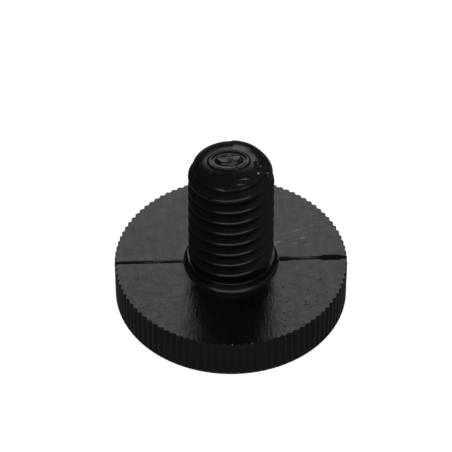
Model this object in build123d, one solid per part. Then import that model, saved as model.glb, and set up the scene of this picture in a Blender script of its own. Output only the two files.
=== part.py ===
"""Moulded thumb screw: a knurled disc head and a threaded stud, in one piece.

The screw stands on its head. The origin is the middle of the head's flat underside,
+Z runs up the stud, and the mould parted along the XZ plane, so its joint line lies
along X on the head's clamping face.
"""
from build123d import *
from math import cos, radians, sin, tan
import os

# Driving sizes, in millimetres and degrees.
head_radius = 8.0          # midway between the knurl's crests and roots
head_thickness = 2.93      # underside to clamping face, on the front half
head_foot_chamfer = 0.10   # eases the knurl's lower edge
knurl_teeth = 100
knurl_depth = 0.12         # root to crest
knurl_crest_share = 0.40   # part of a tooth's pitch that is crest
knurl_root_share = 0.12    # part of a tooth's pitch that is root
parting_step = 0.06        # the rear mould half left its face this much higher
thread_radius = 2.95       # crests, as moulded: a little under a full M6
thread_pitch = 1.0         # M6 coarse, right hand
thread_flank_angle = 30    # each flank, from a plane across the axis
thread_phase = 223         # turns the thread about the stud
collar_proud = 0.10        # how far the collar stands outside the crests
collar_height = 0.75       # clamping face to the first groove
collar_fillet = 0.28       # foot of the collar
stud_length = 9.38         # clamping face to the crown of the tip
tip_shoulder = 1.50        # radius that rounds the stud into its crown
gate_length = 2.74         # oval scar where the plastic was fed, along X
gate_width = 1.95          # the scar across, along Y
gate_lip_width = 0.18      # raised lip round the scar
gate_lip_height = 0.10     # lip above the crown
gate_recess_depth = 0.20   # floor of the scar below the crown
gate_pip_length = 1.85     # broken stub in the middle of the scar
gate_pip_width = 1.20
gate_pip_height = 0.24     # stub above the crown

# Sizes that follow from the driving ones.
thread_crest_flat = thread_pitch / 8
thread_root_flat = thread_pitch / 4
flank_tan = tan(radians(thread_flank_angle))
thread_depth = (thread_pitch - thread_crest_flat - thread_root_flat) / 2 / flank_tan
root_radius = thread_radius - thread_depth
collar_radius = thread_radius + collar_proud
crown_z = head_thickness + stud_length
core_z = head_thickness / 2   # the stud is rooted this deep in the head


def profile(*points):
    """A closed flat outline in the XZ plane, from (radius, height) corners."""
    return make_face(Polyline(*[(radius, 0, height) for radius, height in points], close=True))


def knurled_head():
    """The disc, with straight teeth from the underside to the clamping face."""
    crest_radius = head_radius + knurl_depth / 2
    valley_radius = head_radius - knurl_depth / 2
    corners = [
        (-knurl_crest_share / 2, crest_radius),
        (knurl_crest_share / 2, crest_radius),
        (0.5 - knurl_root_share / 2, valley_radius),
        (0.5 + knurl_root_share / 2, valley_radius),
    ]
    outline = []
    for tooth in range(knurl_teeth):
        for share, radius in corners:
            turn = radians(360 * (tooth + share) / knurl_teeth)
            outline.append((radius * cos(turn), radius * sin(turn)))
    top_z = head_thickness + parting_step
    teeth = extrude(make_face(Polyline(*outline, close=True)), top_z)
    clear_radius = crest_radius + head_foot_chamfer
    eased_disc = revolve(
        profile(
            (0, 0),
            (crest_radius - head_foot_chamfer, 0),
            (clear_radius, 2 * head_foot_chamfer),
            (clear_radius, top_z),
            (0, top_z),
        ),
        Axis.Z,
    )
    front_cut = Pos(0, -clear_radius, top_z) * Box(
        2 * clear_radius, 2 * clear_radius, 2 * parting_step
    )
    return (teeth & eased_disc) - front_cut


def collar():
    """The plain band at the stud's foot, filleted into the clamping face."""
    fillet_radius = min(collar_fillet, collar_height)
    foot_radius = collar_radius + fillet_radius
    foot_z = head_thickness + fillet_radius
    collar_top_z = head_thickness + collar_height
    square_band = profile(
        (0, core_z),
        (foot_radius, core_z),
        (foot_radius, foot_z),
        (collar_radius, foot_z),
        (collar_radius, collar_top_z),
        (0, collar_top_z),
    )
    hollow = Torus(foot_radius, fillet_radius)
    return revolve(square_band, Axis.Z) - Pos(0, 0, foot_z) * hollow


def tip_envelope():
    """The outside of the stud: crest size, rounded over at the shoulder."""
    shoulder = min(tip_shoulder, thread_radius * 0.9)
    bar = Pos(0, 0, core_z) * Cylinder(
        thread_radius, crown_z - core_z, align=(Align.CENTER, Align.CENTER, Align.MIN)
    )
    return fillet(bar.edges().group_by(Axis.Z)[-1], shoulder)


def threaded_stud():
    """A bar with one helical groove, trimmed by the tip so the thread runs out on it.

    The groove starts inside the collar, and both its ends stay inside the bar.
    """
    groove_start_z = head_thickness + collar_height - thread_pitch
    groove_end_z = crown_z + thread_pitch / 4
    spare = 2 * thread_pitch
    bar = Pos(0, 0, core_z - spare) * Cylinder(
        thread_radius,
        groove_end_z - core_z + 2 * spare,
        align=(Align.CENTER, Align.CENTER, Align.MIN),
    )
    path = Helix(
        thread_pitch,
        groove_end_z - groove_start_z,
        root_radius,
        center=(0, 0, groove_start_z),
    )
    reach = thread_depth + thread_crest_flat / 4
    half_root = thread_root_flat / 2
    half_mouth = half_root + reach * flank_tan
    section = Plane(origin=path @ 0, x_dir=(1, 0, 0), z_dir=(0, 1, 0)) * make_face(
        Polyline(
            (0, -half_root), (reach, -half_mouth), (reach, half_mouth), (0, half_root), close=True
        )
    )
    groove = Rot(0, 0, thread_phase) * sweep(section, path=path, is_frenet=True)
    return (bar - groove) & tip_envelope()


def oval(length, width, low_z, high_z):
    """An upright oval post on the stud's axis, its long side along X."""
    return extrude(Pos(0, 0, low_z) * Ellipse(length / 2, width / 2), high_z - low_z)


def gate_scar(stud):
    """Adds the feed point's scar to the crown: a lip, a shallow floor and a broken stub."""
    floor_z = crown_z - gate_recess_depth
    lip = oval(gate_length, gate_width, floor_z, crown_z + gate_lip_height)
    hollow = oval(
        gate_length - 2 * gate_lip_width,
        gate_width - 2 * gate_lip_width,
        floor_z,
        crown_z + 2 * gate_lip_height,
    )
    pip = oval(
        gate_pip_length, gate_pip_width, floor_z - gate_recess_depth, crown_z + gate_pip_height
    )
    return stud + lip - hollow + pip


def thumb_screw():
    """The whole moulding, one solid."""
    return gate_scar(knurled_head() + collar() + threaded_stud())


screw = thumb_screw()
os.makedirs("parts", exist_ok=True)
export_step(screw, "parts/thumb_screw.step")
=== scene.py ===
"""A moulded black thumb screw standing on its head, in a plain pale studio."""
import math

import bpy
import numpy as np
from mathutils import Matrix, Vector


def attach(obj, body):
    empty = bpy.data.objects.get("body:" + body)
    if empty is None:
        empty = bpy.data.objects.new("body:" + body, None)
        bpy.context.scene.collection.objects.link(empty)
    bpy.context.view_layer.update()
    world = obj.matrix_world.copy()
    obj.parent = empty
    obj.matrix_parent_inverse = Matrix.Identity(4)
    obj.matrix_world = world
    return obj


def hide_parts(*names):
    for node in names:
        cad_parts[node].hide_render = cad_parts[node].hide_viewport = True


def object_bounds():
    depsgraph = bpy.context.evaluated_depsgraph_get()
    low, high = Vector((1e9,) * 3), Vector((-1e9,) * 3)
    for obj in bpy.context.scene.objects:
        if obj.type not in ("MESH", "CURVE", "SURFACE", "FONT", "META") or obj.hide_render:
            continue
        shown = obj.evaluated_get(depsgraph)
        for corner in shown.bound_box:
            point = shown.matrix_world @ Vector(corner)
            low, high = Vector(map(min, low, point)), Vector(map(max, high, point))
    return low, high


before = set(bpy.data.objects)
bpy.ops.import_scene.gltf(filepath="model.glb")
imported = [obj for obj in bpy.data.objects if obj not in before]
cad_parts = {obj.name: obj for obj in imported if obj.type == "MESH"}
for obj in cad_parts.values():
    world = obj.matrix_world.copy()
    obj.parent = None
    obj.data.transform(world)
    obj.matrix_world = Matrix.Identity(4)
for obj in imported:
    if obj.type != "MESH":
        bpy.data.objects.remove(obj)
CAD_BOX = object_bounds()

bl_info = {
    "name": "Thumb Screw",
    "version": (1, 0, 0),
    "blender": (4, 5, 0),
    "location": "3D View > Sidebar > Thumb Screw",
    "description": "Builds a moulded thumb screw and the studio it stands in",
    "category": "Add Mesh",
}

MM = 0.001
PIECE_NAME = "thumb_screw_moulding"
CAD_NODE = "thumb_screw"
BODY = "root"
CREST_RADIUS = CAD_BOX[1].x        # the knurl's crests: a tooth points along +X
MIDDLE = (CAD_BOX[0] + CAD_BOX[1]) / 2

STUD_COLUMNS = 200                 # points round the stud
TOOTH_COLUMNS = 16                 # points across each tooth of the knurl
THREAD_LINES = 20                  # lines of points to a turn of the thread
FACE_RINGS = 16                    # rings of points across the clamping face
CAP_RINGS = 34                     # rings of points up the dome's cap
MERGE_DISTANCE = 1e-6
LEAST_RADIUS = 0.1 * MM            # keeps a division by the radius away from 0

KNURL_REACH = 0.25 * MM            # how far in from the rim the teeth go
KNURL_FADE = 0.45                  # part of the reach over which they fade in
FIRST_INSET = 0.12 * MM            # rings on the face inside the rim: one in the teeth,
LAST_INSET = 0.26 * MM             # and one just past their reach
CREST_HALF = 1 / 16                # half the crest's flat, in pitches: a 60 degree thread
FLANK = 5 / 16                     # one flank, in pitches
CREST_ROUNDING = 0.12              # in flanks
WHOLE_TURNS = 100.0                # added so that the part of a turn is never negative
DOME_POWER = 2.3                   # 2 would make the tip an ellipse
CAP_POWER = 3.5                    # higher is flatter in the middle
SHARP_ANGLE = math.radians(50)     # edges sharper than this aren't shaded smooth


# --- Sizes and colours --------------------------------------------------------


def length(name, description, default):
    """A length in metres."""
    return bpy.props.FloatProperty(
        name=name, description=description, default=default, unit="LENGTH", precision=5
    )


def share(name, description, default):
    """A number from 0 to 1."""
    return bpy.props.FloatProperty(
        name=name, description=description, default=default, min=0, max=1, subtype="FACTOR"
    )


def angle(name, description, degrees):
    """An angle, given in degrees."""
    return bpy.props.FloatProperty(
        name=name, description=description, default=math.radians(degrees), subtype="ANGLE"
    )


def strength(name, description, default):
    """The strength of a light, where 1 is white."""
    return bpy.props.FloatProperty(name=name, description=description, default=default, min=0)


class ScrewSizes(bpy.types.PropertyGroup):
    """Sizes of the moulding."""

    head_thickness: length("Head thickness", "Underside to clamping face", 2.93 * MM)
    knurl_teeth: bpy.props.IntProperty(
        name="Knurl teeth", description="Straight teeth round the rim", default=100, min=8
    )
    knurl_depth: length("Knurl depth", "Root to crest", 0.12 * MM)
    knurl_crest: share("Knurl crest", "Part of a tooth's pitch that is crest", 0.10)
    knurl_root: share("Knurl root", "Part of a tooth's pitch that is root", 0.0)
    rim_edge: length("Rim edge", "Rounding of the rim's upper edge", 0.012 * MM)
    foot_chamfer: length("Foot chamfer", "Easing of the rim's lower edge", 0.10 * MM)
    teeth_foot: length("Teeth foot", "Underside to where the teeth start to run out", 0.20 * MM)
    collar_radius: length("Collar radius", "Plain band at the stud's foot", 3.05 * MM)
    collar_height: length("Collar height", "Clamping face to the first groove", 0.75 * MM)
    collar_fillet: length("Collar fillet", "Radius at the collar's foot", 0.34 * MM)
    collar_edge: length("Collar edge", "Rounding of the collar's upper edge", 0.05 * MM)
    thread_radius: length("Thread radius", "Axis to the thread's crests", 2.95 * MM)
    thread_pitch: length("Thread pitch", "Rise in one turn, right hand", 1.0 * MM)
    thread_draft: share("Thread draft", "Radius lost for each unit of height", 0.004)
    crest_height: length("Crest height", "A crest over +X, above the clamping face", 0.63 * MM)
    stud_length: length("Stud length", "Clamping face to the crown", 9.38 * MM)
    dome_width: length("Dome width", "Rounding of the tip, measured inwards", 1.60 * MM)
    dome_height: length("Dome height", "Rounding of the tip, measured down", 1.52 * MM)
    cap_depth: length("Cap depth", "Top of the dome that is turned on its own", 0.27 * MM)
    cap_rise: length("Cap rise", "Height of the cap, edge to middle", 0.46 * MM)
    gate_length: length("Gate length", "Oval scar on the crown, along X", 2.76 * MM)
    gate_width: length("Gate width", "Oval scar on the crown, along Y", 1.92 * MM)
    gate_offset: length("Gate offset", "Middle of the scar, along X", -0.14 * MM)
    gate_lip: length("Gate lip", "Raised lip round the scar, above the crown", 0.05 * MM)
    gate_recess: length("Gate recess", "Floor of the scar, below the crown", 0.04 * MM)
    stub_length: length("Stub length", "Broken stub in the scar, along X", 1.88 * MM)
    stub_width: length("Stub width", "Broken stub in the scar, along Y", 1.12 * MM)
    stub_height: length("Stub height", "Top of the stub, above the crown", 0.15 * MM)
    parting_step: length("Parting step", "Rear half of the face above the front", 0.04 * MM)


class ScrewLooks(bpy.types.PropertyGroup):
    """Colour and gloss of the moulding."""

    plastic: bpy.props.FloatVectorProperty(
        name="Plastic", description="Colour of the black nylon", subtype="COLOR",
        size=4, min=0, max=1, default=(0.0045, 0.0045, 0.005, 1),
    )
    # This colour is used for scratches, and also paints the glints on the rim's top edge, which
    # are highlights put in the colour.
    scuff_and_glint: bpy.props.FloatVectorProperty(
        name="Scuffed", description="Colour of the plastic where it is scratched",
        subtype="COLOR", size=4, min=0, max=1, default=(0.28, 0.28, 0.29, 1),
    )
    gloss_low: share("Least roughness", "Where the skin is most polished", 0.18)
    gloss_high: share("Most roughness", "Where the skin is dullest", 0.25)


class StudioSettings(bpy.types.PropertyGroup):
    """Camera and light of the studio."""

    elevation: angle("Elevation", "Camera above the horizon", 45.07)
    azimuth: angle("Azimuth", "Camera round the screw, from the front", 2.1)
    distance: length("Distance", "Camera to the middle of the screw", 189.6 * MM)
    side_offset: length("Side offset", "The screw stands this far right of centre", 0.34 * MM)
    lens: bpy.props.FloatProperty(
        name="Lens", description="Focal length in millimetres", default=220.7, min=1
    )
    floor_size: length("Floor size", "Side of the square floor", 1.6)
    floor_sheen: share("Floor sheen", "How bright the floor is in the plastic's gloss", 0.11)
    backdrop_light: strength("Backdrop light", "Light from behind", 1.7)
    front_light: strength("Front light", "Light from in front", 1.1)
    plain_light: strength("Plain light", "Even light from all round, on matt surfaces", 0.7)
    side_light: strength("Side light", "Light from the right", 0.10)
    fill_light: strength("Fill light", "Weak light from all round, on everything", 0.03)


# --- Geometry Nodes -----------------------------------------------------------


class NodeTree:
    """Short calls for the nodes of any tree."""

    def __init__(self, tree):
        self.tree = tree

    def add(self, kind, inputs=None, **settings):
        """A node with its settings and inputs, giving its outputs."""
        node = self.tree.nodes.new(kind)
        for key, value in settings.items():
            setattr(node, key, value)
        for key, value in (inputs or {}).items():
            if isinstance(value, bpy.types.NodeSocket):
                self.tree.links.new(value, node.inputs[key])
            else:
                node.inputs[key].default_value = value
        return node.outputs

    def math(self, operation, *values):
        """A Math node."""
        return self.add("ShaderNodeMath", dict(enumerate(values)), operation=operation)[0]

    def blend(self, value, low, high, to_low=0.0, to_high=1.0):
        """Goes smoothly from to_low at low to to_high at high."""
        ends = {"From Min": low, "From Max": high, "To Min": to_low, "To Max": to_high}
        return self.add(
            "ShaderNodeMapRange",
            {"Value": value, **ends},
            interpolation_type="SMOOTHSTEP",
            clamp=True,
        )[0]


class ShapeTree(NodeTree):
    """A Geometry Nodes tree with named inputs."""

    def __init__(self, name):
        super().__init__(bpy.data.node_groups.new(name, "GeometryNodeTree"))
        self.tree.is_modifier = True
        for way in ("INPUT", "OUTPUT"):
            self.tree.interface.new_socket(
                "Geometry", in_out=way, socket_type="NodeSocketGeometry"
            )
        self.group_in = self.tree.nodes.new("NodeGroupInput")
        self.group_out = self.tree.nodes.new("NodeGroupOutput")
        self.geometry = self.group_in.outputs[0]
        self.values = {}

    def input(self, name, value):
        """A named number, with the value that the modifier gets."""
        socket = self.tree.interface.new_socket(
            name, in_out="INPUT", socket_type="NodeSocketFloat"
        )
        self.values[socket.identifier] = float(value)
        return self.group_in.outputs[name]

    def position(self):
        """The x, y and z of each point."""
        point = self.add("GeometryNodeInputPosition")[0]
        return self.add("ShaderNodeSeparateXYZ", {0: point})

    def finish(self, geometry, material):
        """Ends the tree in Realize Instances and Set Material."""
        realized = self.add("GeometryNodeRealizeInstances", {"Geometry": geometry})[0]
        painted = self.add(
            "GeometryNodeSetMaterial", {"Geometry": realized, "Material": material}
        )[0]
        self.tree.links.new(painted, self.group_out.inputs[0])

    def apply(self, piece):
        """Runs the tree on a piece and keeps the result as its plain mesh."""
        modifier = piece.modifiers.new(self.tree.name, "NODES")
        modifier.node_group = self.tree
        for identifier, value in self.values.items():
            modifier[identifier] = value
        graph = bpy.context.evaluated_depsgraph_get()
        mesh = bpy.data.meshes.new_from_object(piece.evaluated_get(graph))
        piece.modifiers.remove(modifier)
        piece.data = mesh


def knurled_rim(sizes, material):
    """Straight teeth: the rim's points move in and out from the axis.

    Near the rim's foot they run out into a plain edge, as wide as their crests.
    """
    tree = ShapeTree("Knurled Rim")
    teeth = tree.input("Teeth", sizes.knurl_teeth)
    depth = tree.input("Depth", sizes.knurl_depth)
    crest = tree.input("Crest Share", sizes.knurl_crest)
    root = tree.input("Root Share", sizes.knurl_root)
    plain = tree.input("Plain Radius", CREST_RADIUS - sizes.knurl_depth / 2)
    reach = tree.input("Reach", KNURL_REACH)
    foot = tree.input("Foot", sizes.foot_chamfer)
    teeth_foot = tree.input("Teeth Foot", sizes.teeth_foot)
    x, y, z = tree.position()
    turn = tree.math("DIVIDE", tree.math("ARCTAN2", y, x), 2 * math.pi)
    phase = tree.math("FRACT", tree.math("MULTIPLY", tree.math("ADD", turn, 1.0), teeth))
    off_root = tree.math("ABSOLUTE", tree.math("MULTIPLY_ADD", phase, 2.0, -1.0))
    tooth = tree.blend(off_root, root, tree.math("SUBTRACT", 1.0, crest))
    tooth = tree.math("MAXIMUM", tooth, tree.blend(z, teeth_foot, foot))
    squares = tree.math("ADD", tree.math("POWER", x, 2.0), tree.math("POWER", y, 2.0))
    radius = tree.math("SQRT", squares)
    inner = tree.math("SUBTRACT", plain, reach)
    outer = tree.math("MULTIPLY_ADD", reach, KNURL_FADE, inner)
    push = tree.math("MULTIPLY", tree.math("SUBTRACT", tooth, 0.5), depth)
    push = tree.math("MULTIPLY", push, tree.blend(radius, inner, outer))
    push = tree.math("MULTIPLY", push, tree.blend(z, 0.0, foot))
    scale = tree.math("DIVIDE", push, tree.math("MAXIMUM", radius, LEAST_RADIUS))
    offset = tree.add(
        "ShaderNodeCombineXYZ",
        {"X": tree.math("MULTIPLY", x, scale), "Y": tree.math("MULTIPLY", y, scale)},
    )[0]
    moved = tree.add("GeometryNodeSetPosition", {"Geometry": tree.geometry, "Offset": offset})[0]
    tree.finish(moved, material)
    return tree


def helical_thread(sizes, material):
    """The threaded stud: a grid wound so that its lines follow the thread.

    Lines that would run past either end are gathered on that end, so both ends are
    plain rings. Merging by distance closes the tube and joins it to the head and cap.
    """
    tree = ShapeTree("Helical Thread")
    crest_radius = tree.input("Crest Radius", sizes.thread_radius)
    pitch = tree.input("Pitch", sizes.thread_pitch)
    depth = tree.input("Groove Depth", math.sqrt(3) * FLANK * sizes.thread_pitch)
    draft = tree.input("Draft", sizes.thread_draft)
    start = tree.input("Start Height", sizes.head_thickness + sizes.collar_height)
    crown = tree.input("Crown Height", sizes.head_thickness + sizes.stud_length)
    cap = tree.input("Cap Depth", sizes.cap_depth)
    crest = tree.input("Crest Height", sizes.head_thickness + sizes.crest_height)
    dome_width = tree.input("Dome Width", sizes.dome_width)
    dome_height = tree.input("Dome Height", sizes.dome_height)
    ring_radius = tree.input("Collar Ring", sizes.collar_radius - sizes.collar_edge)
    turns = math.ceil((sizes.stud_length - sizes.collar_height) / sizes.thread_pitch) + 2
    line_step = 1 / THREAD_LINES

    counts = {"Vertices X": STUD_COLUMNS + 1, "Vertices Y": turns * THREAD_LINES + 1}
    grid = tree.add("GeometryNodeMeshGrid", {"Size X": 1.0, "Size Y": 1.0, **counts})[0]
    across, along, _ = tree.position()
    turn = tree.math("ADD", across, 0.5)
    line = tree.math("MULTIPLY", tree.math("ADD", along, 0.5), float(turns))
    lead = (sizes.collar_height - sizes.crest_height) / sizes.thread_pitch * THREAD_LINES
    # The lines are shifted so that one falls on each corner of the root.
    back = 1 + line_step * (1 + (lead - 0.5) % 1)
    rise = tree.math("SUBTRACT", tree.math("ADD", line, turn), back)
    height = tree.math("MULTIPLY_ADD", rise, pitch, start)
    height = tree.math("MAXIMUM", height, start)
    height = tree.math("MINIMUM", height, tree.math("SUBTRACT", crown, cap))

    wound = tree.math("DIVIDE", tree.math("SUBTRACT", height, crest), pitch)
    phase = tree.math("ADD", tree.math("SUBTRACT", wound, turn), WHOLE_TURNS)
    phase = tree.math("FRACT", phase)
    off_crest = tree.math("ABSOLUTE", tree.math("SUBTRACT", phase, 0.5))
    off_crest = tree.math("SUBTRACT", 0.5, off_crest)
    flank = tree.math("DIVIDE", tree.math("SUBTRACT", off_crest, CREST_HALF), FLANK)
    flank = tree.math("SMOOTH_MAX", flank, 0.0, CREST_ROUNDING)
    flank = tree.math("MINIMUM", flank, 1.0)
    lean = tree.math("MULTIPLY", tree.math("SUBTRACT", height, start), draft)
    plain = tree.math("SUBTRACT", crest_radius, lean)
    grooved = tree.math("SUBTRACT", plain, tree.math("MULTIPLY", flank, depth))

    base = tree.math("SUBTRACT", crown, dome_height)
    above = tree.math("DIVIDE", tree.math("SUBTRACT", height, base), dome_height)
    above = tree.math("POWER", tree.math("MAXIMUM", above, 0.0), DOME_POWER)
    curve = tree.math("POWER", tree.math("SUBTRACT", 1.0, above), 1 / DOME_POWER)
    inset = tree.math("MULTIPLY", tree.math("SUBTRACT", 1.0, curve), dome_width)
    radius = tree.math("MINIMUM", grooved, tree.math("SUBTRACT", plain, inset))
    first_line = tree.math("LESS_THAN", line, line_step / 2)
    on_ring = tree.math("MULTIPLY", tree.math("SUBTRACT", ring_radius, radius), first_line)
    radius = tree.math("ADD", radius, on_ring)

    way = tree.math("MULTIPLY", turn, 2 * math.pi)
    x = tree.math("MULTIPLY", radius, tree.math("COSINE", way))
    y = tree.math("MULTIPLY", radius, tree.math("SINE", way))
    point = tree.add("ShaderNodeCombineXYZ", {"X": x, "Y": y, "Z": height})[0]
    tube = tree.add("GeometryNodeSetPosition", {"Geometry": grid, "Position": point})[0]
    joined = tree.tree.nodes.new("GeometryNodeJoinGeometry")
    for geometry in (tube, tree.geometry):
        tree.tree.links.new(geometry, joined.inputs[0])
    merged = tree.add(
        "GeometryNodeMergeByDistance",
        {"Geometry": joined.outputs[0], "Distance": MERGE_DISTANCE},
    )[0]
    tree.finish(merged, material)
    return tree


# --- The moulding's mesh ------------------------------------------------------


def lathe(name, *profiles):
    """Turned surfaces in one mesh. Each is a list of rings (radius, height, columns).

    A ring of one column is a pole. Between rings of different counts, each face takes in
    as many of the finer ring's points as it spans.
    """
    points, faces = [], []
    for rings in profiles:
        starts = []
        for radius, height, columns in rings:
            starts.append(len(points))
            for column in range(columns):
                turn = 2 * math.pi * column / columns
                points.append((radius * math.cos(turn), radius * math.sin(turn), height))
        for k in range(len(rings) - 1):
            low, high = rings[k][2], rings[k + 1][2]
            steps = min(columns for columns in (low, high) if columns > 1)
            for step in range(steps):
                lower = ring_arc(starts[k], low, step, steps)
                upper = ring_arc(starts[k + 1], high, step, steps)
                faces.append(lower + upper[::-1])
    mesh = bpy.data.meshes.new(name)
    mesh.from_pydata(points, [], faces)
    mesh.update()
    return mesh


def ring_arc(start, columns, step, steps):
    """The points of a ring over one step of the way round, or the pole."""
    if columns == 1:
        return [start]
    span = columns // steps
    return [start + (step * span + k) % columns for k in range(span + 1)]


def quarter_turn(steps):
    """Sine and cosine from 0 to a right angle."""
    turns = [math.pi / 2 * k / steps for k in range(steps + 1)]
    return [(math.sin(turn), math.cos(turn)) for turn in turns]


def head_rings(sizes):
    """From the middle of the underside, round the rim and over the face, to the collar."""
    fine = TOOTH_COLUMNS * sizes.knurl_teeth
    rim = CREST_RADIUS - sizes.knurl_depth / 2
    face = sizes.head_thickness
    foot, edge, fillet = sizes.foot_chamfer, sizes.rim_edge, sizes.collar_fillet
    rings = [(0, 0, 1)]
    rings += [(radius * MM, 0, STUD_COLUMNS) for radius in (1.5, 3, 4.5, 6, 7, 7.5)]
    rings += [(rim - LAST_INSET, 0, fine), (rim - foot, 0, fine)]
    rings += [(rim, height, fine) for height in (foot, sizes.teeth_foot, face - 3 * edge)]
    for sine, cosine in quarter_turn(2):
        rings.append((rim - edge * (1 - cosine), face - edge * (1 - sine), fine))
    rings += [(rim - inset, face, fine) for inset in (FIRST_INSET, LAST_INSET)]
    foot_radius = sizes.collar_radius + fillet
    outermost = rim - 2 * KNURL_REACH
    for radius in np.linspace(outermost, foot_radius, FACE_RINGS):
        rings.append((radius, face, fine))
    for sine, cosine in quarter_turn(8)[1:]:
        rings.append((foot_radius - fillet * sine, face + fillet * (1 - cosine), STUD_COLUMNS))
    top, edge = face + sizes.collar_height, sizes.collar_edge
    rings.append((sizes.collar_radius, top - 3 * edge, STUD_COLUMNS))
    for sine, cosine in quarter_turn(3):
        rings.append((
            sizes.collar_radius - edge * (1 - cosine), top - edge * (1 - sine), STUD_COLUMNS
        ))
    return rings


def cap_rings(sizes):
    """The dome's cap, from its edge in to the pole."""
    cap_height = sizes.stud_length - sizes.cap_depth
    plain = sizes.thread_radius - sizes.thread_draft * (cap_height - sizes.collar_height)
    flat = plain - sizes.dome_width
    above = 1 - sizes.cap_depth / sizes.dome_height
    edge = flat + sizes.dome_width * (1 - above ** DOME_POWER) ** (1 / DOME_POWER)
    foot = sizes.head_thickness + cap_height
    rings = []
    for radius in np.linspace(edge, 0, CAP_RINGS + 1)[:-1]:
        rise = sizes.cap_rise * (1 - (radius / edge) ** CAP_POWER)
        rings.append((radius, foot + rise, STUD_COLUMNS))
    return rings + [(0, foot + sizes.cap_rise, 1)]


# Each pair below is where a shape starts and where it is full, and smooth() runs from one
# to the other. In the scar and its stub, 1 is the oval's edge.
LIP_OUTSIDE = (1.06, 0.97)
LIP_INSIDE = (0.80, 0.93)
RECESS_EDGE = (0.98, 0.66)
STUB_EDGE = (1.05, 0.80)
STUB_MIDDLE = 0.10 * MM            # the gate's broken stub, along Y
STUB_REAR = (0.75 * MM, 0.25 * MM)
TEAR_MIDDLE = 0.32 * MM            # the tear across the stub, along Y
TEAR_SLANT = 0.15
TEAR_DEPTH = 0.09 * MM
TEAR_WIDTH = 0.09 * MM
TEAR_ENDS = (0.75 * MM, 0.30 * MM)
TORN_SLOPE = 0.06                  # of the stub's top
RIPPLE_HEIGHT = 0.03 * MM
RIPPLE_X = 0.21 * MM               # along each axis, for a radian of the ripple
RIPPLE_Y = 0.30 * MM

PATCH_HEIGHT = 0.08 * MM           # raised patch on the rear of the dome
PATCH_LEFT = (0.0, 0.35 * MM)
PATCH_RIGHT = (2.40 * MM, 1.20 * MM)
PATCH_FRONT = (0.90 * MM, 1.90 * MM)
NICKS = ((1.74, -0.28, 0.24), (2.29, -0.73, 0.20))   # x, y and radius, in mm
NICK_DEPTH = 0.16 * MM
NICK_EDGE = (1.0, 0.3)             # 1 is the nick's radius

STEP_EDGE = (-0.03 * MM, 0.01 * MM)
FLASH_HEIGHT = 0.10 * MM           # all along the parting line
FLASH_FRONT = (-0.03 * MM, 0.005 * MM)
FLASH_REAR = (0.10 * MM, 0.02 * MM)
FLASH_FOOT = 0.3 * MM              # it grows over this much from the collar,
FLASH_TAIL = 0.1 * MM              # and dies out over this much at the rim
STUD_FLASH = 0.08 * MM             # extra on the right, beside the stud
STUD_FLASH_END = (4.3 * MM, 4.0 * MM)
RIM_FLASH = 0.12 * MM              # extra on the right, near the rim
RIM_FLASH_START = (6.2 * MM, 6.4 * MM)
RIM_FLASH_END = (7.7 * MM, 7.5 * MM)


def smooth(low, high, value):
    """Rises smoothly from 0 at low to 1 at high, over an array."""
    part = np.clip((value - low) / (high - low), 0, 1)
    return part * part * (3 - 2 * part)


def gate_scar(sizes, x, y):
    """Height of the scar over the plain crown: lip, recess and broken stub."""
    x = x - sizes.gate_offset
    scar = np.hypot(x / (sizes.gate_length / 2), y / (sizes.gate_width / 2))
    stub = np.hypot(x / (sizes.stub_length / 2), (y - STUB_MIDDLE) / (sizes.stub_width / 2))
    lip = smooth(*LIP_OUTSIDE, scar) * smooth(*LIP_INSIDE, scar)
    sunk = smooth(*RECESS_EDGE, scar)
    tear = np.exp(-((y - TEAR_MIDDLE - TEAR_SLANT * x) / TEAR_WIDTH) ** 2)
    torn = TORN_SLOPE * x - TEAR_DEPTH * tear * smooth(*TEAR_ENDS, np.abs(x))
    torn = torn + RIPPLE_HEIGHT * np.sin(x / RIPPLE_X + y / RIPPLE_Y)
    raised = smooth(*STUB_EDGE, stub) * smooth(*STUB_REAR, y)
    height = sizes.gate_lip * lip - sizes.gate_recess * sunk
    return height + raised * (sizes.gate_recess + sizes.stub_height + torn)


def dome_marks(x, y):
    """Height of the dome over its plain form: a raised patch behind, and two nicks."""
    patch = smooth(*PATCH_LEFT, x) * smooth(*PATCH_FRONT, y)
    height = PATCH_HEIGHT * patch * smooth(*PATCH_RIGHT, x)
    for nick_x, nick_y, nick_radius in NICKS:
        away = np.hypot(x - nick_x * MM, y - nick_y * MM) / (nick_radius * MM)
        height = height - NICK_DEPTH * smooth(*NICK_EDGE, away)
    return height


def parting_line(sizes, x, y):
    """Height of the face over its front half: the step, and the flash along it."""
    out = np.abs(x)
    by_stud = smooth(*STUD_FLASH_END, out)
    by_rim = smooth(*RIM_FLASH_START, out) * smooth(*RIM_FLASH_END, out)
    flash = FLASH_HEIGHT + np.where(x > 0, STUD_FLASH * by_stud + RIM_FLASH * by_rim, 0)
    inner = sizes.collar_radius
    flash = flash * smooth(inner, inner + FLASH_FOOT, out)
    flash = flash * smooth(CREST_RADIUS, CREST_RADIUS - FLASH_TAIL, out)
    ridge = smooth(*FLASH_FRONT, y) * smooth(*FLASH_REAR, y)
    return sizes.parting_step * smooth(*STEP_EDGE, y) + flash * ridge


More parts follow.
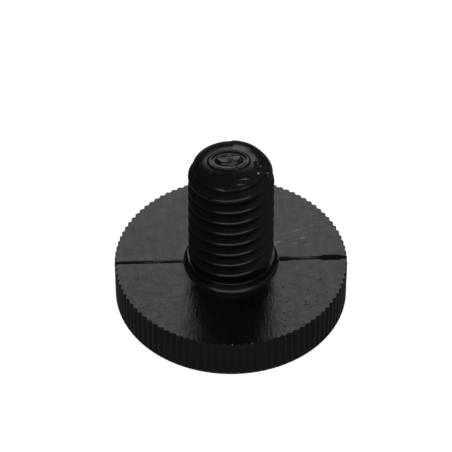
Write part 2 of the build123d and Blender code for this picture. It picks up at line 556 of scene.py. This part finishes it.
def shape_details(sizes, mesh):
    """Moves points up or down for the parting line, the gate scar and the dome's marks."""
    points = np.empty(len(mesh.vertices) * 3)
    mesh.vertices.foreach_get("co", points)
    points = points.reshape(-1, 3)
    x, y, z = points.T.copy()
    radius = np.hypot(x, y)
    face = sizes.head_thickness
    crown = face + sizes.stud_length
    on_face = smooth(face - 3 * sizes.rim_edge, face - sizes.rim_edge, z)
    on_face *= smooth(face + sizes.collar_fillet, face, z)
    on_dome = (z > crown - 0.8 * sizes.dome_height) & (radius < sizes.thread_radius)
    z = z + on_face * parting_line(sizes, x, y)
    z = z + np.where(on_dome, gate_scar(sizes, x, y) + dome_marks(x, y), 0)
    points[:, 2] = z
    mesh.vertices.foreach_set("co", points.reshape(-1))
    mesh.update()


def build_moulding(sizes, material):
    """The whole screw as one closed mesh."""
    mesh = lathe(PIECE_NAME, head_rings(sizes), cap_rings(sizes))
    piece = bpy.data.objects.new(PIECE_NAME, mesh)
    bpy.context.scene.collection.objects.link(piece)
    knurled_rim(sizes, material).apply(piece)
    helical_thread(sizes, material).apply(piece)
    shape_details(sizes, piece.data)
    piece.data.name = PIECE_NAME
    piece.data.shade_smooth()
    piece.data.set_sharp_from_angle(angle=SHARP_ANGLE)
    return piece


# --- Material -----------------------------------------------------------------


class Shader(NodeTree):
    """The nodes of a material or the world."""

    def __init__(self, owner):
        owner.use_nodes = True
        super().__init__(owner.node_tree)
        self.tree.nodes.clear()

    def noise(self, place, scale, detail=2.0, rough=0.5):
        """Plain noise."""
        return self.add(
            "ShaderNodeTexNoise",
            {"Vector": place, "Scale": scale, "Detail": detail, "Roughness": rough},
        )[0]


# Sizes of the skin's noises: higher is finer. Ranges are where an effect starts and is full.
FLOW_STRETCH = (1.0, 0.22, 1.0)    # drawn out along Y, as the plastic flowed
MOTTLE_SCALE, MOTTLE_RANGE = 2600.0, (0.35, 0.65)
BROAD_SCALE = 1100.0
FINE_SCALE, FINE_SHARE = 6500.0, 0.5
GRAIN_SCALE, GRAIN_RANGE = 9000.0, (0.35, 0.60)
LEAST_WORN = 0.35                  # of a scratch's whiteness, where its grain is darkest
DUST_SCALE, DUST_SPOT = 2600.0, (0.20, 0.10)
DUST_PATCHES = (0.48, 0.56)        # of the broad noise
DUST_FRONT = (-1.2 * MM, -2.2 * MM)
DUST_SIDES = (2.6 * MM, 3.6 * MM)
MARK_EDGE = (1.1, 0.4)             # 1 is the oval's edge
MARK_DEPTH = 0.1 * MM              # half of a mark's height
MARK_WHITENESS = 0.7
MARK_ROUGHNESS = 0.3               # added to the roughness inside a white mark
PIT_ROUGHNESS = 0.4                # and inside a pit
PIT_RELIEF = -0.5
BUMP_STRENGTH = 0.5
BUMP_HEIGHT = 0.03 * MM
PLASTIC_IOR = 1.5

# Marks on the skin: middle (x, y, height above the face), length, width, turn about Z.
# Lengths are in millimetres and turns in degrees.
SCRATCHES = (
    (3.40, 1.62, 0, 0.62, 0.24, 14), (3.15, 1.52, 0, 0.30, 0.30, 0),
    (4.70, 2.70, 0, 1.00, 0.10, 22), (5.05, 1.92, 0, 0.85, 0.16, 12),
    (4.55, 1.45, 0, 0.45, 0.12, 10), (5.35, 1.30, 0, 0.50, 0.12, 18),
    (5.75, 3.15, 0, 0.60, 0.08, 30), (5.35, 2.45, 0, 0.55, 0.09, 25),
    (4.10, 2.05, 0, 0.40, 0.07, 20), (4.95, 3.35, 0, 0.50, 0.06, 24),
    (6.10, 2.60, 0, 0.40, 0.06, 28), (5.20, 2.15, 0, 0.45, 0.06, 14),
    (0.68, -1.66, 9.32, 1.10, 0.10, 8), (0.50, -2.04, 9.20, 0.75, 0.08, 8),
)
# Pale specks. The two at height 0 near y = -7.9 sit on the rim's front top edge and are painted
# glints: highlights of light put in the colour.
SPECKS_AND_GLINTS = (
    (-0.80, -2.83, 6.48, 0.16, 0.12, 0), (-2.86, -0.20, 0.12, 0.12, 0.12, 0),
    (-0.20, -7.95, 0.0, 0.10, 0.06, 0), (1.10, -7.90, 0.0, 0.10, 0.06, 0),
    (1.78, -1.02, 9.27, 0.22, 0.20, 0), (2.46, -0.64, 8.93, 0.18, 0.20, 0),
)
PITS = (
    (6.1, -2.1, 0, 0.12, 0.12, 0), (-6.6, -1.8, 0, 0.10, 0.10, 0), (-5.3, -2.2, 0, 0.10, 0.10, 0),
    (-4.9, -4.0, 0, 0.12, 0.10, 0), (-4.7, -4.5, 0, 0.10, 0.12, 0), (-5.0, -4.9, 0, 0.08, 0.08, 0),
    (4.0, -2.4, 0, 0.12, 0.10, 0), (4.6, -3.2, 0, 0.10, 0.10, 0), (3.7, -4.1, 0, 0.12, 0.12, 0),
    (5.1, -4.4, 0, 0.10, 0.10, 0), (4.2, -5.0, 0, 0.08, 0.10, 0), (5.7, -3.5, 0, 0.08, 0.08, 0),
)


def marks(shader, place, face, shapes):
    """1 inside any of the marks, fading to 0 at their edges."""
    total = 0.0
    for x, y, height, long, wide, turn in shapes:
        inside = shader.add(
            "ShaderNodeMapping",
            {"Vector": place, "Location": (x * MM, y * MM, face + height * MM),
             "Rotation": (0, 0, math.radians(turn)),
             "Scale": (long * MM / 2, wide * MM / 2, MARK_DEPTH)},
            vector_type="TEXTURE",
        )[0]
        away = shader.add("ShaderNodeVectorMath", {0: inside}, operation="LENGTH")["Value"]
        total = shader.math("MAXIMUM", total, shader.blend(away, *MARK_EDGE))
    return total


def black_nylon(looks, face):
    """Black nylon with a satin moulded skin, its scratches, pale specks, painted glints of light
    on the rim's top edge, and its pits.
    """
    material = bpy.data.materials.new("Black Nylon")
    shader = Shader(material)
    place = shader.add("ShaderNodeTexCoord")["Object"]
    along = shader.add("ShaderNodeMapping", {"Vector": place, "Scale": FLOW_STRETCH})[0]
    mottle = shader.noise(along, MOTTLE_SCALE, 3.0, 0.6)
    roughness = shader.blend(mottle, *MOTTLE_RANGE, looks.gloss_low, looks.gloss_high)
    broad = shader.noise(place, BROAD_SCALE)
    worn = marks(shader, place, face, SCRATCHES)
    grain = shader.noise(place, GRAIN_SCALE)
    grain = shader.blend(grain, *GRAIN_RANGE, LEAST_WORN, 1.0)
    worn = shader.math("MULTIPLY", worn, grain)
    # The painted glints on the rim's edge come in with the specks, and whiten the colour like the
    # scratches.
    speck_and_glint = marks(shader, place, face, SPECKS_AND_GLINTS)
    white = shader.math("MULTIPLY", shader.math("MAXIMUM", worn, speck_and_glint), MARK_WHITENESS)
    colour = shader.add(
        "ShaderNodeMix",
        {"Factor": white, 6: looks.plastic, 7: looks.scuff_and_glint},
        data_type="RGBA",
    )[2]
    pit = marks(shader, place, face, PITS)
    cells = shader.add("ShaderNodeTexVoronoi", {"Vector": place, "Scale": DUST_SCALE})["Distance"]
    patches = shader.blend(broad, *DUST_PATCHES)
    dust = shader.math("MULTIPLY", shader.blend(cells, *DUST_SPOT), patches)
    x, y, _ = shader.add("ShaderNodeSeparateXYZ", {0: place})
    on_front = shader.blend(y, *DUST_FRONT)
    beside_stud = shader.blend(shader.math("ABSOLUTE", x), *DUST_SIDES)
    dust = shader.math("MULTIPLY", dust, shader.math("MULTIPLY", on_front, beside_stud))
    pit = shader.math("MAXIMUM", pit, dust)
    fine = shader.noise(along, FINE_SCALE)
    relief = shader.math("MULTIPLY_ADD", fine, FINE_SHARE, broad)
    relief = shader.math("MULTIPLY_ADD", pit, PIT_RELIEF, relief)
    roughness = shader.math("MULTIPLY_ADD", pit, PIT_ROUGHNESS, roughness)
    roughness = shader.math("MULTIPLY_ADD", white, MARK_ROUGHNESS, roughness)
    bump = shader.add(
        "ShaderNodeBump",
        {"Strength": BUMP_STRENGTH, "Distance": BUMP_HEIGHT, "Height": relief},
    )[0]
    plastic = shader.add(
        "ShaderNodeBsdfPrincipled",
        {"Base Color": colour, "Roughness": roughness, "IOR": PLASTIC_IOR, "Normal": bump},
    )[0]
    shader.add("ShaderNodeOutputMaterial", {"Surface": plastic})
    return material


# --- Studio -------------------------------------------------------------------


# The edges of each panel of light, its dark side first. y and z are a direction's own, at
# length 1. Level x and y are those of its level part, brought to length 1.
BACKDROP_NEAR = (0.05, 0.20)       # y
BACKDROP_TOP = (0.80, 0.715)       # z
BACKDROP_FOOT = (0.38, 0.54)       # z
BACKDROP_SIDES = (0.60, 0.35)      # level x, either way
FRONT_SIDES = (-0.60, -0.80)       # level y
FRONT_TOP = (0.90, 0.80)           # z
FRONT_FOOT = (0.10, 0.25)          # z
SIDE_EDGE = (0.50, 0.90)           # level x
LEAST_LEVEL = 0.01                 # keeps a division away from 0, straight up and down
FLOOR_GLOW = 0.92                  # what the camera sees of the floor, before its shading
FLOOR_GREY = 0.25                  # the part of the floor that takes light and shadow
SENSOR_WIDTH = 36
CAMERA_RANGE = (0.01, 10)          # nearest and furthest that the camera sees, in metres


def pale_floor(studio):
    """White to the camera, with the screw's faint shadow, and dim in the gloss."""
    material = bpy.data.materials.new("Pale Floor")
    shader = Shader(material)
    rays = shader.add("ShaderNodeLightPath")
    seen = shader.math("MAXIMUM", rays["Is Camera Ray"], rays["Is Transmission Ray"])
    seen_glow = shader.math("MULTIPLY", seen, FLOOR_GLOW)
    glow = shader.add("ShaderNodeEmission", {"Strength": seen_glow})[0]
    grey = (FLOOR_GREY, FLOOR_GREY, FLOOR_GREY, 1)
    matt = shader.add("ShaderNodeBsdfDiffuse", {"Color": grey})[0]
    pale = shader.add("ShaderNodeAddShader", {0: glow, 1: matt})[0]
    dim = shader.add("ShaderNodeEmission", {"Strength": studio.floor_sheen})[0]
    floor = shader.add("ShaderNodeMixShader", {0: rays["Is Glossy Ray"], 1: pale, 2: dim})[0]
    shader.add("ShaderNodeOutputMaterial", {"Surface": floor})
    return material


def studio_world(studio):
    """White to the camera, and dark to the screw apart from its panels of light."""
    world = bpy.data.worlds.new("Studio")
    shader = Shader(world)
    direction = shader.add("ShaderNodeTexCoord")["Generated"]
    x, y, z = shader.add("ShaderNodeSeparateXYZ", {0: direction})
    level = shader.math("SQRT", shader.math("SUBTRACT", 1.0, shader.math("MULTIPLY", z, z)))
    level = shader.math("MAXIMUM", level, LEAST_LEVEL)
    aside = shader.math("DIVIDE", x, level)
    across = shader.math("ABSOLUTE", aside)
    ahead = shader.math("DIVIDE", y, level)
    behind = shader.blend(y, *BACKDROP_NEAR, 0.0, studio.backdrop_light)
    for part, edges in ((z, BACKDROP_TOP), (z, BACKDROP_FOOT), (across, BACKDROP_SIDES)):
        behind = shader.math("MULTIPLY", behind, shader.blend(part, *edges))
    front = shader.blend(ahead, *FRONT_SIDES, 0.0, studio.front_light)
    for edges in (FRONT_TOP, FRONT_FOOT):
        front = shader.math("MULTIPLY", front, shader.blend(z, *edges))
    right = shader.blend(aside, *SIDE_EDGE, 0.0, studio.side_light)
    light = shader.math("ADD", shader.math("ADD", behind, front), studio.fill_light)
    light = shader.math("ADD", light, right)
    rays = shader.add("ShaderNodeLightPath")
    light = shader.math("MULTIPLY_ADD", rays["Is Diffuse Ray"], studio.plain_light, light)
    seen = shader.math("MAXIMUM", rays["Is Camera Ray"], rays["Is Transmission Ray"])
    sky = shader.add(
        "ShaderNodeBackground",
        {"Color": (1, 1, 1, 1), "Strength": shader.math("MAXIMUM", seen, light)},
    )[0]
    shader.add("ShaderNodeOutputWorld", {"Surface": sky})
    return world


def build_floor(studio):
    """A square floor that the screw stands on."""
    half = studio.floor_size / 2
    corners = [(-half, -half, 0), (half, -half, 0), (half, half, 0), (-half, half, 0)]
    mesh = bpy.data.meshes.new("floor")
    mesh.from_pydata(corners, [], [(0, 1, 2, 3)])
    mesh.materials.append(pale_floor(studio))
    floor = bpy.data.objects.new("floor", mesh)
    bpy.context.scene.collection.objects.link(floor)


def place_camera(studio):
    """A long lens, looking down at the screw from the front."""
    camera = bpy.data.objects.new("camera", bpy.data.cameras.new("camera"))
    bpy.context.scene.collection.objects.link(camera)
    flat = Vector((-math.sin(studio.azimuth), -math.cos(studio.azimuth), 0))
    right = Vector((-flat.y, flat.x, 0))
    target = Vector((0, 0, MIDDLE.z)) - right * studio.side_offset
    away = flat * math.cos(studio.elevation) + Vector((0, 0, math.sin(studio.elevation)))
    camera.location = target + away * studio.distance
    camera.rotation_euler = (-away).to_track_quat("-Z", "Y").to_euler()
    camera.data.lens = studio.lens
    camera.data.sensor_width = SENSOR_WIDTH
    camera.data.clip_start, camera.data.clip_end = CAMERA_RANGE
    bpy.context.scene.camera = camera


# --- Operators and panel ------------------------------------------------------


class SCREW_OT_moulding(bpy.types.Operator):
    """Build the screw: knurled head, collar, threaded stud and gate scar, in one mesh"""

    bl_idname = "screw.moulding"
    bl_label = "Moulding"

    def execute(self, context):
        scene = context.scene
        sizes = scene.screw_sizes
        piece = build_moulding(sizes, black_nylon(scene.screw_looks, sizes.head_thickness))
        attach(piece, BODY)
        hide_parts(CAD_NODE)
        return {"FINISHED"}


class SCREW_OT_studio(bpy.types.Operator):
    """Build the floor, the light and the camera"""

    bl_idname = "screw.studio"
    bl_label = "Studio"

    def execute(self, context):
        scene = context.scene
        build_floor(scene.screw_studio)
        scene.world = studio_world(scene.screw_studio)
        place_camera(scene.screw_studio)
        scene.view_settings.view_transform = "Standard"
        return {"FINISHED"}


class SCREW_PT_panel(bpy.types.Panel):
    """Lists the operators that build the screw and its studio"""

    bl_idname = "SCREW_PT_panel"
    bl_label = "Thumb Screw"
    bl_space_type = "VIEW_3D"
    bl_region_type = "UI"
    bl_category = "Thumb Screw"

    def draw(self, context):
        for operator in OPERATORS:
            self.layout.operator(operator.bl_idname)


OPERATORS = (SCREW_OT_moulding, SCREW_OT_studio)
GROUPS = {
    "screw_sizes": ScrewSizes,
    "screw_looks": ScrewLooks,
    "screw_studio": StudioSettings,
}


def register():
    for name, group in GROUPS.items():
        bpy.utils.register_class(group)
        setattr(bpy.types.Scene, name, bpy.props.PointerProperty(type=group))
    for shown in (*OPERATORS, SCREW_PT_panel):
        bpy.utils.register_class(shown)


def unregister():
    for shown in (SCREW_PT_panel, *reversed(OPERATORS)):
        bpy.utils.unregister_class(shown)
    for name, group in GROUPS.items():
        delattr(bpy.types.Scene, name)
        bpy.utils.unregister_class(group)


def main():
    """Builds everything."""
    register()
    bpy.ops.screw.moulding()
    bpy.ops.screw.studio()


if __name__ == "__main__":
    main()
